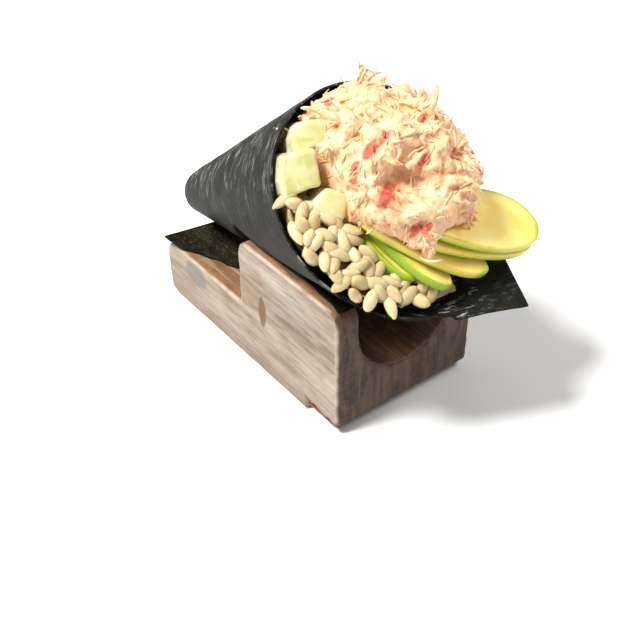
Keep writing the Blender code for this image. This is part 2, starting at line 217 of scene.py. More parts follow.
def place_camera():
    axes = look_axes(CAMERA_AZIMUTH, CAMERA_ELEVATION, CAMERA_ROLL)
    camera = new_object("camera", bpy.data.cameras.new("camera"))
    camera.matrix_world = Matrix.Translation(CAMERA_PLACE) @ Matrix(axes).transposed().to_4x4()
    camera.data.lens = CAMERA_LENS
    camera.data.sensor_width = 36.0
    camera.data.clip_start = 5 * MM
    bpy.context.scene.camera = camera


def place_light(name, place, aim, width, power):
    light = new_object(name, bpy.data.lights.new(name, "AREA"))
    light.data.shape = "DISK"
    light.data.size = width
    light.data.energy = power
    light.data.color = WARM_WHITE
    light.location = place
    light.rotation_euler = (Vector(place) - Vector(aim)).to_track_quat("Z", "Y").to_euler()


def make_floor():
    shape = bmesh.new()
    bmesh.ops.create_circle(shape, cap_ends=True, radius=FLOOR_RADIUS, segments=64)
    floor = loose("floor", shape)
    material, net = new_finish("pale_floor")
    tone = net.noise(net.place(), 8.0, 2.0).ramp(0.3, 0.7) * 0.03
    colour = net.mix(tone, rgba(246, 246, 247), rgba(236, 236, 238))
    finish(net, colour, 0.6)
    floor.data.materials.append(material)


def light_studio():
    world = bpy.data.worlds.new("studio")
    bpy.context.scene.world = world
    world.use_nodes = True
    background = world.node_tree.nodes["Background"]
    background.inputs["Color"].default_value = (1.0, 1.0, 1.0, 1.0)
    background.inputs["Strength"].default_value = SKY_STRENGTH
    for name, light in LIGHTS.items():
        place_light(name, *light)
    bpy.context.scene.view_settings.view_transform = "Standard"


place_camera()
light_studio()
make_floor()
print("camera at", tuple(round(c, 3) for c in CAMERA_PLACE))

# %% [markdown]
# ## Making pieces
# Each piece is one mesh that sits at the origin with its place in its vertices, as the packed
# nodes do, so that a pattern on object coordinates stays put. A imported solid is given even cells,
# reshaped point by point, told what its material has to know, and claimed as a piece.

# %% Helpers for meshes
def claim(piece, material, slot, *replaced):
    """Makes a loose object a piece that rides on the object's one body."""
    piece.data.materials.clear()
    piece.data.materials.append(material)
    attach(piece, "root")
    if replaced:
        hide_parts(*replaced)
    piece.data.calc_loop_triangles()
    print(piece.name, len(piece.data.loop_triangles), "triangles")


def bake_modifiers(piece):
    """The piece with its modifiers applied, as a plain mesh."""
    graph = bpy.context.evaluated_depsgraph_get()
    mesh = bpy.data.meshes.new_from_object(piece.evaluated_get(graph), depsgraph=graph)
    piece.modifiers.clear()
    before = piece.data
    piece.data = mesh
    bpy.data.meshes.remove(before)
    mesh.name = piece.name


def copy_node(node):
    """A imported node's solid as a bmesh whose loose triangles are joined."""
    shape = bmesh.new()
    shape.from_mesh(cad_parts[node].data)
    bmesh.ops.remove_doubles(shape, verts=shape.verts, dist=1e-6)
    return shape


def even_grid(name, shape, cell):
    """The same solid with square cells all over, fine enough to be worn or roughened."""
    made = loose(name, shape)
    remesh = made.modifiers.new("even grid", "REMESH")
    remesh.mode = "VOXEL"
    remesh.voxel_size = cell
    remesh.use_smooth_shade = True
    bake_modifiers(made)
    return made


def skin_rings(shape, rings):
    """Faces between neighbouring rings of vertices, and one face over each end."""
    count = len(rings[0])
    for first, second in zip(rings, rings[1:]):
        for k in range(count):
            after = (k + 1) % count
            shape.faces.new((first[k], first[after], second[after], second[k]))
    shape.faces.new(list(reversed(rings[0])))
    shape.faces.new(rings[-1])


def normals_of(piece):
    return [corner.vector.copy() for corner in piece.data.vertex_normals]


def reshape(piece, moved, shares=None):
    """Moves every vertex to where moved(place, normal, share) puts it."""
    vertices = piece.data.vertices
    for vertex, normal, share in zip(vertices, normals_of(piece), shares or [1.0] * len(vertices)):
        vertex.co = moved(vertex.co.copy(), normal, share)
    piece.data.update()


def store(piece, name, values):
    """Writes one number for each vertex, which a material reads as an attribute."""
    layer = piece.data.attributes.new(name, "FLOAT", "POINT")
    layer.data.foreach_set("value", values)


def smooth_step(low, high, value):
    t = min(max((value - low) / (high - low), 0.0), 1.0)
    return t * t * (3 - 2 * t)


def drift(point, scale, seed=0.0):
    """Smooth noise from -1 to 1 at a place, for unevenness about one over scale metres wide."""
    return noise.noise(Vector((point[0] * scale + seed, point[1] * scale, point[2] * scale)))

# %% [markdown]
# ## Wooden stand
# The real stand is a sawn block that has been washed many times: its left side is weathered to
# grey-beige, the tops are warmer, the front is dark end grain painted darker still as shade, and
# the edges are worn pale. The inside of the groove is painted dark as its shade.
# A voxel grid of the imported solid gives cells that can be worn: shallow grain lines run along the
# block, the edges are nibbled, and a long chip is broken out of the lower left edge. The grain is
# a noise that is stretched along the block, so it runs right through like real wood.

# %% Wear the block
WOOD_CELL = 0.62 * MM
STAND_WIDTH = 47.0 * MM
STAND_LENGTH = 83.0 * MM
STAND_HEIGHT = 40.0 * MM
STEP_LENGTH = 39.8 * MM
STEP_HEIGHT = 18.7 * MM
DROP = STAND_LENGTH / 2 - STEP_LENGTH
WEAR_WIDTH = 1.3 * MM
CHIP_START = -28.5 * MM
CHIP_HEIGHT = 5.0 * MM
CHIP_DEPTH = 1.5 * MM
# Heights in millimetres.
BROAD_GRAIN = 0.07
FINE_GRAIN = 0.05
NIBBLE = 0.5


def edge_closeness(place):
    """1 on an outer edge of the block, 0 further in than the wear reaches."""
    top = STAND_HEIGHT if place.y < DROP + 1 * MM else STEP_HEIGHT
    walls = [
        STAND_WIDTH / 2 - abs(place.x),
        STAND_LENGTH / 2 - abs(place.y),
        min(abs(top - place.z), place.z),
    ]
    if place.z > STEP_HEIGHT:
        walls[1] = min(walls[1], abs(DROP - place.y))
    near, next_near = sorted(walls)[:2]
    return max(1 - near / WEAR_WIDTH, 0.0) * max(1 - next_near / WEAR_WIDTH, 0.0)


def chip_share(place):
    """How much of the chip's depth is broken away at a place of the lower left edge."""
    if place.y > CHIP_START or place.x > -STAND_WIDTH / 2 + 3 * MM:
        return 0.0
    along = (CHIP_START - place.y) / (STAND_LENGTH / 2 + CHIP_START)
    height = CHIP_HEIGHT * (1 - 0.25 * along) + 0.8 * MM * drift(place, 500)
    return smooth_step(height, height - 0.6 * MM, place.z)


def worn_place(place, normal, _):
    grain = drift((place.x * 4, place.y * 0.25, place.z * 4), 260) * BROAD_GRAIN
    grain += drift((place.x * 4, place.y * 0.16, place.z * 4), 700, 3.0) * FINE_GRAIN
    nibble = edge_closeness(place) ** 0.7 * (0.14 + NIBBLE * max(drift(place, 330, 7.0), 0.0))
    place = place + normal * (grain - nibble) * MM
    if normal.z < -0.5:
        place.z = max(place.z, 0.0)
    break_in = chip_share(place) * (CHIP_DEPTH + 0.3 * MM * drift(place, 900))
    if place.x < -STAND_WIDTH / 2 + 2 * MM:
        place.x += break_in
    return place


block = even_grid("wooden_block", copy_node("stand"), WOOD_CELL)
reshape(block, worn_place)
store(block, "worn", [edge_closeness(v.co) for v in block.data.vertices])
store(block, "raw", [chip_share(v.co) for v in block.data.vertices])

# %% Wood that runs along the block
KNOT_PLACE = Vector((0.0, -9.3, 21.9)) * MM
STAIN_PLACE = Vector((0.0, 25.0, 14.4)) * MM


def spot(net, place, centre, size_y, size_z):
    """1 at the middle of an oval on the side of the block, 0 outside it."""
    _, y, z = net.separate(place)
    along = (y - centre.y) / size_y
    up = (z - centre.z) / size_z
    return 1 - (along * along + up * up).least(1.0)


def wood_finish():
    material, net = new_finish("weathered_wood")
    place = net.place()
    x, _, z = net.separate(place)
    face_x, face_y, face_z = net.facing()
    end_grain = face_y.size().ramp(0.5, 0.8)
    long_grain = 1 - end_grain
    left = (-1 * face_x).ramp(0.5, 0.8)
    stretched = net.scaled(place, 1.0, 0.075, 1.0)
    broad = net.noise(stretched, 210.0, 4.0, 0.6, 0.4)
    fine = net.noise(stretched, 900.0, 4.0, 0.65)
    hairs = net.noise(net.scaled(place, 1.0, 0.03, 1.0), 2100.0, 2.0, 0.6)
    blotch = net.noise(place, 90.0, 3.0, 0.6)
    flecks = net.noise(net.scaled(place, 1.0, 0.16, 1.0), 1300.0, 3.0, 0.6).ramp(0.62, 0.74)
    pale = net.noise(net.scaled(place, 1.0, 0.45, 1.0), 75.0, 4.0, 0.65, 0.8)
    side = net.mix(broad.ramp(0.3, 0.7), rgba(132, 116, 99), rgba(184, 168, 150))
    side = net.mix(pale.ramp(0.45, 0.7) * 0.5, side, rgba(188, 178, 166))
    side = net.mix(blotch.ramp(0.5, 0.75) * 0.5, side, rgba(150, 122, 96))
    top = net.mix(broad.ramp(0.3, 0.7), rgba(122, 84, 54), rgba(176, 132, 94))
    top = net.mix(blotch.ramp(0.45, 0.65) * 0.7, top, rgba(96, 66, 46))
    rings = net.noise(net.scaled(place, 1.6, 0.5, 0.30), 190.0, 3.0, 0.55, 0.8)
    # The end grain is dark wood, painted darker still as the shade that the front lies in.
    end = net.mix(rings.ramp(0.35, 0.65), rgba(58, 41, 31), rgba(98, 76, 59))
    colour = net.mix(face_z.ramp(0.45, 0.8), side, top)
    colour = net.mix(end_grain, colour, end)
    # Painted shade: the inside of the groove is darkened to deep brown, as the shade in the channel.
    inside = (1 - (x.size() * (1000 / 15.8)).ramp(0.96, 1.02)) * z.ramp(0.0145, 0.017)
    groove = net.mix(fine.ramp(0.3, 0.7), rgba(70, 46, 30), rgba(120, 84, 58))
    colour = net.mix(inside * long_grain * 0.9, colour, groove)
    colour = net.mix((1 - fine.ramp(0.34, 0.5)) * 0.45, colour, rgba(96, 78, 62))
    colour = net.mix(hairs.ramp(0.56, 0.72) * long_grain * 0.45, colour, rgba(206, 194, 178))
    colour = net.mix(flecks * long_grain * 0.35, colour, rgba(84, 64, 48))
    knot = (spot(net, place, KNOT_PLACE, 1.9 * MM, 5.4 * MM) + (fine - 0.5) * 0.25) * left
    colour = net.mix(knot.ramp(0.02, 0.22) * 0.8, colour, rgba(122, 92, 58))
    colour = net.mix(knot.ramp(0.25, 0.7) * 0.35, colour, rgba(98, 70, 42))
    stain = spot(net, place, STAIN_PLACE, 6.5 * MM, 5.0 * MM) + (pale - 0.5) * 0.8
    stain = stain.ramp(0.1, 0.6) * left
    colour = net.mix(stain * 0.6, colour, rgba(112, 114, 120))
    # Darker towards the bottom of the block, in broad blotches.
    darker_low_down = (1 - z.ramp(0.0, 0.011)) * broad.ramp(0.3, 0.6)
    colour = net.mix(darker_low_down * 0.5, colour, rgba(104, 88, 72))
    worn = net.attribute("worn").ramp(0.15, 0.6) * (0.25 + 0.6 * pale)
    colour = net.mix(worn, colour, rgba(226, 208, 186))
    splinter = net.mix(hairs.ramp(0.4, 0.6), rgba(84, 50, 34), rgba(160, 112, 82))
    colour = net.mix(net.attribute("raw").ramp(0.3, 0.7), colour, splinter)
    bump = net.bump(broad * 0.5 + fine * 0.35 + hairs * 0.15, 0.8, 0.4)
    finish(net, colour, 0.62 + fine * 0.25, bump)
    return material


claim(block, wood_finish(), "wood", "stand")

# %% [markdown]
# ## Rolled seaweed
# The roll is one crisp sheet bent into a cone, so its shape follows a rule: a distance from the
# apex and an angle about the axis give each point, and the rim is a straight edge of the flat
# sheet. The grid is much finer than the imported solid, which lets the sheet carry its small
# creases. Its UV map is the flat sheet, so the streaks of the weave run as they do on real nori.

# %% Measures of the roll and of the loose corner
SHEET = 0.5 * MM
APEX = Vector((-6.9, 70.6, 14.7)) * MM
CONE_YAW = math.radians(2.0)
CONE_PITCH = math.radians(25.5)
CONE_HALF_ANGLE = math.radians(13.8)
RIM_DISTANCE = 107.8 * MM
RIM_NEAREST = 1.30
TIP_DISTANCE = 27.5 * MM
TIP_ROUNDNESS = 0.5
INNER_CORNER = 2.8
INNER_END = 4.55
LAYER_STEP = 1.3 * MM
BOTTOM = -math.pi / 2
FLAP_CORNER = Vector((15.2, -66.8)) * MM
FLAP_BACK_CORNER = Vector((37.5, -24.0)) * MM
FLAP_ROOT = Vector((20.5, 0.5)) * MM
FLAP_HEIGHT = 41.7 * MM
FLAP_DROOP = 0.07
GROOVE_RADIUS = 16.2 * MM
TIP_ROWS = 3
ROWS = 16
GRID_ROWS = 96
CONE_COLUMNS = 190
FLAP_COLUMNS = 60
UNROLL = math.sin(CONE_HALF_ANGLE)
RIM_TUCK = 6.0 * MM
TIP_BEND = math.radians(66)
FLAP_BACK_SHARE = 0.42
CLEARANCE = 1.4 * MM


def cone_frame():
    """Axis from the tip to the mouth, then the directions to the left and up across it."""
    flat = math.cos(CONE_PITCH)
    axis = Vector((math.sin(CONE_YAW) * flat, -math.cos(CONE_YAW) * flat, math.sin(CONE_PITCH)))
    left = axis.cross(Vector((0.0, 0.0, 1.0))).normalized()
    return axis, left, left.cross(axis)


AXIS, LEFT, UP = cone_frame()

# %% Points of the cone and of its round tip
def cone_point(turn, distance, out=0.0):
    """A point of the cone at an angle about its axis (0 left, pi/2 top, -pi/2 bottom)."""
    across = LEFT * math.cos(turn) + UP * math.sin(turn)
    along = AXIS * math.cos(CONE_HALF_ANGLE) + across * math.sin(CONE_HALF_ANGLE)
    normal = across * math.cos(CONE_HALF_ANGLE) - AXIS * math.sin(CONE_HALF_ANGLE)
    return APEX + along * distance + normal * out


def tip_point(turn, bend, out=0.0):
    """A point of the round tip. A bend of 0 joins the cone, pi/2 is the end of the tip."""
    centre = APEX + AXIS * TIP_DISTANCE / math.cos(CONE_HALF_ANGLE)
    radius = TIP_DISTANCE * math.tan(CONE_HALF_ANGLE) + out
    across = LEFT * math.cos(turn) + UP * math.sin(turn)
    tilt = CONE_HALF_ANGLE + bend
    start = math.sin(CONE_HALF_ANGLE)
    drop = start + (math.sin(tilt) - start) * TIP_ROUNDNESS
    return centre + (across * math.cos(tilt) - AXIS * drop) * radius


def rim_distance(turn):
    """The rim is a straight edge of the flat sheet, so it is nearest the apex at one angle."""
    straight = RIM_DISTANCE / math.cos(UNROLL * (turn - RIM_NEAREST))
    return straight - RIM_TUCK * smooth_step(-1.0, -1.6, turn)


def sheet_end(turn):
    """How far from the apex the sheet reaches: to its rim, or to its hidden inner edge."""
    if turn <= INNER_CORNER:
        return rim_distance(turn)
    inner_edge = RIM_DISTANCE * math.tan(UNROLL * (INNER_CORNER - RIM_NEAREST))
    return inner_edge / math.sin(UNROLL * (turn - RIM_NEAREST))


def row_distance(turn, row):
    share = (row - TIP_ROWS) / ROWS
    return TIP_DISTANCE + (sheet_end(turn) - TIP_DISTANCE) * share


def wrap_point(turn, row, out):
    if row < TIP_ROWS:
        return tip_point(turn, TIP_BEND * (1 - row / TIP_ROWS), out)
    return cone_point(turn, row_distance(turn, row), out)

# %% Where the sheet rests on the wood, and the loose corner
def soft_min(a, b, width):
    """The smaller of two heights, with the corner between them rounded over the width."""
    h = max(width - abs(a - b), 0.0) / width
    return min(a, b) - h * h * width / 4


def cone_underside(x, y):
    """Height of the lower side of the cone above a point of the table, or far up beside it."""
    aside = Vector((x - APEX.x, y - APEX.y, 0.0))
    widening = 1 / math.cos(CONE_HALF_ANGLE) ** 2
    along = aside.dot(AXIS)
    a = 1 - AXIS.z * AXIS.z * widening
    b = -along * AXIS.z * widening
    c = aside.length_squared - along * along * widening
    inside = b * b - a * c
    if inside < 0 or along < 0:
        return 1.0
    return APEX.z + (-b - math.sqrt(inside)) / a


def rest_on_stand(point, ease=4.6 * MM):
    """Pushes a point of the sheet up and out of the wood, so that the cone sags into the groove."""
    inside = STAND_LENGTH / 2
    needed = STAND_HEIGHT + CLEARANCE - max(GROOVE_RADIUS - ease - abs(point.x), 0.0) * 2.0
    needed -= max(point.y - DROP - ease, 0.0) * 2.2
    needed -= max(-inside - 0.6 * MM - point.y, 0.0) * 1.6
    if abs(point.x) > STAND_WIDTH / 2 + 12 * MM:
        return point
    return Vector((point.x, point.y, max(point.z, needed)))


def flap_surface(x, y):
    """The sheet right of its lowest line: under the roll a cone, and flat beyond it."""
    shelf = FLAP_HEIGHT - max(-STAND_LENGTH / 2 - y, 0.0) * FLAP_DROOP
    return soft_min(cone_underside(x, y), shelf, 2.5 * MM)


def flap_boundary(t):
    """Plan outline of the loose corner, from where it leaves the roll to its front corner."""
    if t < FLAP_BACK_SHARE:
        return FLAP_ROOT.lerp(FLAP_BACK_CORNER, t / FLAP_BACK_SHARE)
    return FLAP_BACK_CORNER.lerp(FLAP_CORNER, (t - FLAP_BACK_SHARE) / (1 - FLAP_BACK_SHARE))


def flap_point(u, row):
    """A point of the sheet past its lowest line, which opens into the flat loose corner."""
    hugging = wrap_point(BOTTOM - 0.75 * u, row, 0.0)
    base = wrap_point(BOTTOM, row, 0.0)
    share = max(row - TIP_ROWS - 7, 0) / (ROWS - 7)
    plan = Vector((base.x, base.y)).lerp(flap_boundary(share), u)
    height = flap_surface(plan.x, plan.y)
    height += (base.z - cone_underside(base.x, base.y)) * (1 - u) ** 2
    flat = Vector((plan.x, plan.y, height))
    return hugging.lerp(flat, smooth_step(TIP_ROWS + 4, TIP_ROWS + 8, row))

# %% The sheet as one fine grid with its flat sheet as UV map
SHEET_UNIT = 100 * MM
FLAP_CREASE = 0.35 * MM


def crinkle(flat):
    """Small creases of a dry sheet, in metres, from a place on the flat sheet."""
    across = drift((flat.x * 0.35, flat.y, 0.0), 160) * 0.22
    small = drift((flat.x * 0.6, flat.y, 0.0), 520, 5.0) * 0.09
    broad = drift((flat.x, flat.y, 0.0), 45, 9.0) * 0.25
    return (across + small + broad) * MM


def flat_place(turn, row):
    """Where a point of the roll lies when the sheet is unrolled on a table."""
    angle = UNROLL * (turn - RIM_NEAREST)
    distance = max(row_distance(turn, row), 4 * MM)
    return Vector((math.sin(angle) * distance, math.cos(angle) * distance))


def skin_grid(shape, grid, flats):
    """Faces of a grid, each corner with its place on the flat sheet as UV."""
    layer = shape.loops.layers.uv.new("flat_sheet")
    for i in range(len(grid) - 1):
        for j in range(len(grid[i]) - 1):
            corners = ((i, j), (i, j + 1), (i + 1, j + 1), (i + 1, j))
            face = shape.faces.new([grid[a][b] for a, b in corners])
            for loop, (a, b) in zip(face.loops, corners):
                loop[layer].uv = flats[a][b] / SHEET_UNIT


def sheet_rows():
    return [(TIP_ROWS + ROWS) * k / GRID_ROWS for k in range(GRID_ROWS + 1)]


def roll_grid():
    """Points and flat places, from the hidden inner end round to the loose corner."""
    points, flats = [], []
    for column in range(CONE_COLUMNS + 1):
        turn = INNER_END + (BOTTOM - INNER_END) * column / CONE_COLUMNS
        inset = -LAYER_STEP * smooth_step(2.9, 3.7, turn)
        flat = [flat_place(turn, row) for row in sheet_rows()]
        line = []
        for row, place in zip(sheet_rows(), flat):
            crease = crinkle(place) * smooth_step(0.0, 4.0, row) * 0.6
            crease *= 1 - 0.7 * smooth_step(2.0, 2.8, turn)
            line.append(rest_on_stand(wrap_point(turn, row, inset + crease)))
        points.append(line)
        flats.append(flat)
    for column in range(1, FLAP_COLUMNS + 1):
        u = column / FLAP_COLUMNS
        flat = [flat_place(BOTTOM, row) - Vector((u * 30 * MM, 0.0)) for row in sheet_rows()]
        line = []
        for row, place in zip(sheet_rows(), flat):
            point = rest_on_stand(flap_point(u, row))
            lift = crinkle(place) * smooth_step(0.0, 4.0, row) + FLAP_CREASE
            line.append(point + Vector((0.0, 0.0, lift * smooth_step(0.1, 0.5, u))))
        points.append(line)
        flats.append(flat)
    return points, flats


def sheet_piece(name, points, flats, thickness):
    shape = bmesh.new()
    grid = [[shape.verts.new(point) for point in line] for line in points]
    skin_grid(shape, grid, flats)
    bmesh.ops.recalc_face_normals(shape, faces=shape.faces[:])
    made = loose(name, shape)
    solidify = made.modifiers.new("thickness", "SOLIDIFY")
    solidify.thickness = thickness
    solidify.offset = -1.0
    bake_modifiers(made)
    made.data.shade_smooth()
    made.data.set_sharp_from_angle(angle=math.radians(50))
    return made


roll = sheet_piece("rolled_seaweed", *roll_grid(), SHEET)

# %% [markdown]
# ## Finish of toasted seaweed
# Toasted nori is nearly black with a green cast and has a shiny face, whose pressed weave breaks
# the shine into pale grey streaks. Where the light shines through or falls flat on it, it looks
# olive with brown specks; here the specks are painted in, partly as real specks and partly as
# painted light shining through. The streaks come from a noise that is stretched along the sheet:
# it drives both roughness and bump, and paints a pale grey highlight into the colour where the
# sheet faces up.

# %% Seaweed materials
def seaweed_finish(name, dark, light, painted_sheen, speckle, shine):
    material, net = new_finish(name)
    flat = net.add("ShaderNodeUVMap", {"uv_map": "flat_sheet"})
    streaky = net.attribute("streaky")
    weave = net.noise(net.scaled(flat, 0.22, 1.0, 1.0), 46.0, 6.0, 0.72, 0.9)
    threads = net.noise(net.scaled(flat, 0.13, 1.0, 1.0), 150.0, 4.0, 0.65, 0.4)
    blots = net.noise(flat, 11.0, 4.0, 0.6, 0.5)
    specks = net.noise(flat, 110.0, 3.0, 0.7).ramp(0.57, 0.68)
    # Painted highlight: pale grey sheen is painted into the colour along the streaks, more where the
    # sheet faces up, scaled by the stored sheen share.
    lit = net.facing()[2].ramp(-0.1, 0.8) * 0.88 + 0.12
    colour = net.mix(blots.ramp(0.35, 0.65), dark, light)
    streaks = (weave * 0.5 + threads * 0.5).ramp(0.51, 0.61)
    streaks = streaks * blots.ramp(0.36, 0.58) * lit * streaky
    colour = net.mix(streaks * painted_sheen, colour, rgba(206, 205, 198))
    # Olive specks: partly real specks of the sheet, partly painted light shining through it.
    colour = net.mix(specks * speckle, colour, rgba(124, 108, 58))
    height = weave * 0.45 + threads * 0.35 + specks * 0.2
    bump = net.bump(height, 0.9, 0.3)
    rough = shine + (1 - streaks) * 0.2 + (1 - streaky) * 0.15
    finish(net, colour, rough, bump, {"Specular IOR Level": 0.14})
    return material


# Both finishes paint pale grey sheen into the colour; the flat sheets lie in shade and get a sixth as
# much, with more olive specks, partly painted light shining through.
SHINY_NORI = seaweed_finish("shiny_nori", rgba(12, 13, 10), rgba(24, 26, 20), 0.62, 0.12, 0.36)
FLAT_NORI = seaweed_finish("flat_nori", rgba(12, 11, 6), rgba(34, 31, 14), 0.10, 0.5, 0.45)


def on_roll(place):
    """1 on the roll, 0 on the loose corner, which lies away below the cone."""
    if place.x < APEX.x + 4 * MM:
        return 1.0
    return smooth_step(-2.5 * MM, -0.8 * MM, place.z - cone_underside(place.x, place.y))


# The loose corner lies in the shade of the heap: it gets a tenth of the painted sheen and is rougher.
store(roll, "streaky", [0.1 + 0.9 * on_roll(v.co) for v in roll.data.vertices])
claim(roll, SHINY_NORI, "nori", "nori_wrap")

# %% [markdown]
# ## The sheet under the roll
# A second piece of seaweed lies on the wood. It is pressed into the groove by the roll, hangs over
# the drop and curls up a little on the low step. In plan it is a plain four-sided piece, so a grid
# in plan whose height follows the wood and the underside of the roll makes it.

# %% The under sheet
LEAF = 0.4 * MM
LEAF_GAP = 0.35 * MM
LEAF_RIGHT = 22.0 * MM
LEAF_FRONT = -40.5 * MM
LEAF_CORNER = Vector((-25.5, 39.0)) * MM
LEAF_BACK_SLOPE = -0.12
LEAF_EASE = 1.4 * MM
LEAF_CURL = 2.2 * MM
HANG_SLOPE = 2.1
LEAF_COLUMNS = 84
LEAF_ROWS = 120


def leaf_left(y):
    """The left edge of the lower sheet: further in on the high block and at the drop."""
    inward = 7.0 * MM * math.exp(-(((y - DROP - 13 * MM) / (15 * MM)) ** 2))
    bare_wood = 2.0 * MM + 2.3 * MM * smooth_step(LEAF_FRONT, -5 * MM, y)
    inward += bare_wood * smooth_step(20 * MM, 5 * MM, y)
    ragged = 0.5 * MM * drift((0.0, y, 0.0), 260)
    return -23.6 * MM + inward - 2.0 * MM * smooth_step(25 * MM, 39 * MM, y) + ragged


def leaf_rest(y):
    """Height at which the sheet lies on the high part, hangs down, and lies on the low step."""
    high = STAND_HEIGHT + LEAF_GAP + LEAF
    low = STEP_HEIGHT + LEAF_GAP + LEAF
    if y < DROP + 1.0 * MM:
        return high - 1.2 * MM * smooth_step(LEAF_FRONT + 4 * MM, LEAF_FRONT, y)
    hang = high - (y - DROP - 1.0 * MM) * HANG_SLOPE
    curl = LEAF_CURL * smooth_step(30 * MM, 42 * MM, y)
    return -soft_min(-hang, -low, 4 * MM) + curl


def under_wrap(x, y):
    """Height that the underside of the roll leaves free."""
    above = cone_underside(x, y)
    if x > APEX.x - (y - APEX.y) * 0.035:
        above = flap_surface(x, y) if y < 2 * MM else above
    if above > 0.5:
        return above
    return rest_on_stand(Vector((x, y, above)), LEAF_EASE).z


def leaf_top(x, y):
    step = 0.5 * MM
    slope = (under_wrap(x + step, y) - under_wrap(x - step, y)) / (2 * step)
    steepness = math.sqrt(1 + min(abs(slope), 4.0) ** 2)
    return min(leaf_rest(y), under_wrap(x, y) - 0.6 * MM * steepness)


def leaf_grid():
    points, flats = [], []
    for i in range(LEAF_COLUMNS + 1):
        u = i / LEAF_COLUMNS
        line, flat = [], []
        for j in range(LEAF_ROWS + 1):
            back = LEAF_CORNER.y + (LEAF_RIGHT - LEAF_CORNER.x) * u * LEAF_BACK_SLOPE
            y = LEAF_FRONT + (back - LEAF_FRONT) * j / LEAF_ROWS
            x = leaf_left(y) * (1 - u) + LEAF_RIGHT * u
            ripple = crinkle(Vector((x, y))) * 0.5 * smooth_step(DROP, DROP + 12 * MM, y)
            line.append(Vector((x, y, leaf_top(x, y) + ripple + 0.1 * MM)))
            flat.append(Vector((y, x)))
        points.append(line)
        flats.append(flat)
    return points, flats


leaf = sheet_piece("under_sheet", *leaf_grid(), LEAF)
# The under sheet lies in the roll's shade and gets about a third of the painted sheen.
store(leaf, "streaky", [0.35] * len(leaf.data.vertices))
claim(leaf, FLAT_NORI, "nori_flat", "nori_leaf")

# %% [markdown]
# ## Scattering on a surface
# Rice grains and shreds of crab lie on what is beneath them. Poisson points keep them apart, each
# takes a random variant, spin, tilt and size, and the result is realized into one plain mesh. Each
# thing also gets a random tone, which its finish reads, so that neighbours differ in colour.

# %% A geometry tree for scattering
SCATTER_INPUTS = {
    "Pieces": "Collection",
    "Spacing": "Float",
    "Density": "Float",
    "Tilt": "Float",
    "Smallest": "Float",
    "Largest": "Float",
    "Seed": "Int",
    "Finish": "Material",
}
FULL_TURN = 6.283


def scatter_tree():
    tree = bpy.data.node_groups.new("scatter_on_surface", "GeometryNodeTree")
    panel = tree.interface
    panel.new_socket("Geometry", in_out="INPUT", socket_type="NodeSocketGeometry")
    for label, kind in SCATTER_INPUTS.items():
        panel.new_socket(label, in_out="INPUT", socket_type="NodeSocket" + kind)
    panel.new_socket("Geometry", in_out="OUTPUT", socket_type="NodeSocketGeometry")
    net = Net(tree)
    entry = net.add("NodeGroupInput").out.node
    given = {out.name: Socket(net, out) for out in entry.outputs if out.name}
    real = {"data_type": "FLOAT"}
    points = net.add("GeometryNodeDistributePointsOnFaces", {"distribute_method": "POISSON"}, {
        "Mesh": given["Geometry"],
        "Distance Min": given["Spacing"],
        "Density Max": given["Density"],
        "Density Factor": net.add("GeometryNodeInputNamedAttribute", real, {"Name": "open"}),
        "Seed": given["Seed"],
    })
    tilt = given["Tilt"]
    least_turn = net.add("ShaderNodeCombineXYZ", None, [tilt * -1, tilt * -1, 0.0])
    most_turn = net.add("ShaderNodeCombineXYZ", None, [tilt, tilt, FULL_TURN])
    turns = {0: least_turn, 1: most_turn, 8: 3}
    turn = net.add("FunctionNodeRandomValue", {"data_type": "FLOAT_VECTOR"}, turns)
    facing = Socket(net, points.out.node.outputs["Rotation"])
    sizes = {2: given["Smallest"], 3: given["Largest"], 8: 5}
    kinds = {"Collection": given["Pieces"], "Separate Children": True, "Reset Children": True}
    placed = net.add("GeometryNodeInstanceOnPoints", None, {
        "Points": points,
        "Instance": net.add("GeometryNodeCollectionInfo", None, kinds),
        "Pick Instance": True,
        "Rotation": net.add("FunctionNodeRotateRotation", {"rotation_space": "LOCAL"}, [facing, turn]),
        "Scale": net.add("FunctionNodeRandomValue", real, sizes, out=1),
    })
    tone = net.add("FunctionNodeRandomValue", real, {8: 11}, out=1)
    stored = {"data_type": "FLOAT", "domain": "INSTANCE"}
    named = {"Geometry": placed, "Name": "tone", "Value": tone}
    toned = net.add("GeometryNodeStoreNamedAttribute", stored, named)
    solid = net.add("GeometryNodeRealizeInstances", None, [toned])
    finished = {"Geometry": solid, "Material": given["Finish"]}
    net.add("NodeGroupOutput", None, [net.add("GeometryNodeSetMaterial", None, finished)])
    return tree


SCATTER = scatter_tree()


def scatter(name, ground, kinds, **values):
    """Scatters the kinds over the open part of a piece and returns them as one plain mesh."""
    holder = bpy.data.collections.new(name + "_kinds")
    for kind in kinds:
        bpy.context.scene.collection.objects.unlink(kind)
        holder.objects.link(kind)
    made = new_object(name, ground.data.copy())
    modifier = made.modifiers.new("scatter", "NODES")
    modifier.node_group = SCATTER
    values["Pieces"] = holder
    for socket in SCATTER.interface.items_tree:
        if socket.in_out == "INPUT" and socket.name in values:
            modifier[socket.identifier] = values[socket.name]
    bake_modifiers(made)
    made.data.shade_smooth()
    for kind in kinds:
        bpy.data.objects.remove(kind)
    bpy.data.collections.remove(holder)
    return made

# %% Where the mouth is, and what of the filling can be seen
MOUTH = Vector((-3.4, -33.0, 62.5)) * MM
MOUTH_NORMAL = Vector((-0.08, -0.70, 0.71)).normalized()
MOUTH_RIGHT = (Vector((1.0, 0.0, 0.0)) - MOUTH_NORMAL * MOUTH_NORMAL.x).normalized()
MOUTH_UP = MOUTH_NORMAL.cross(MOUTH_RIGHT)
WALL_REACH = 3.2 * MM
LOWEST_SEEN = FLAP_HEIGHT + 3.5 * MM


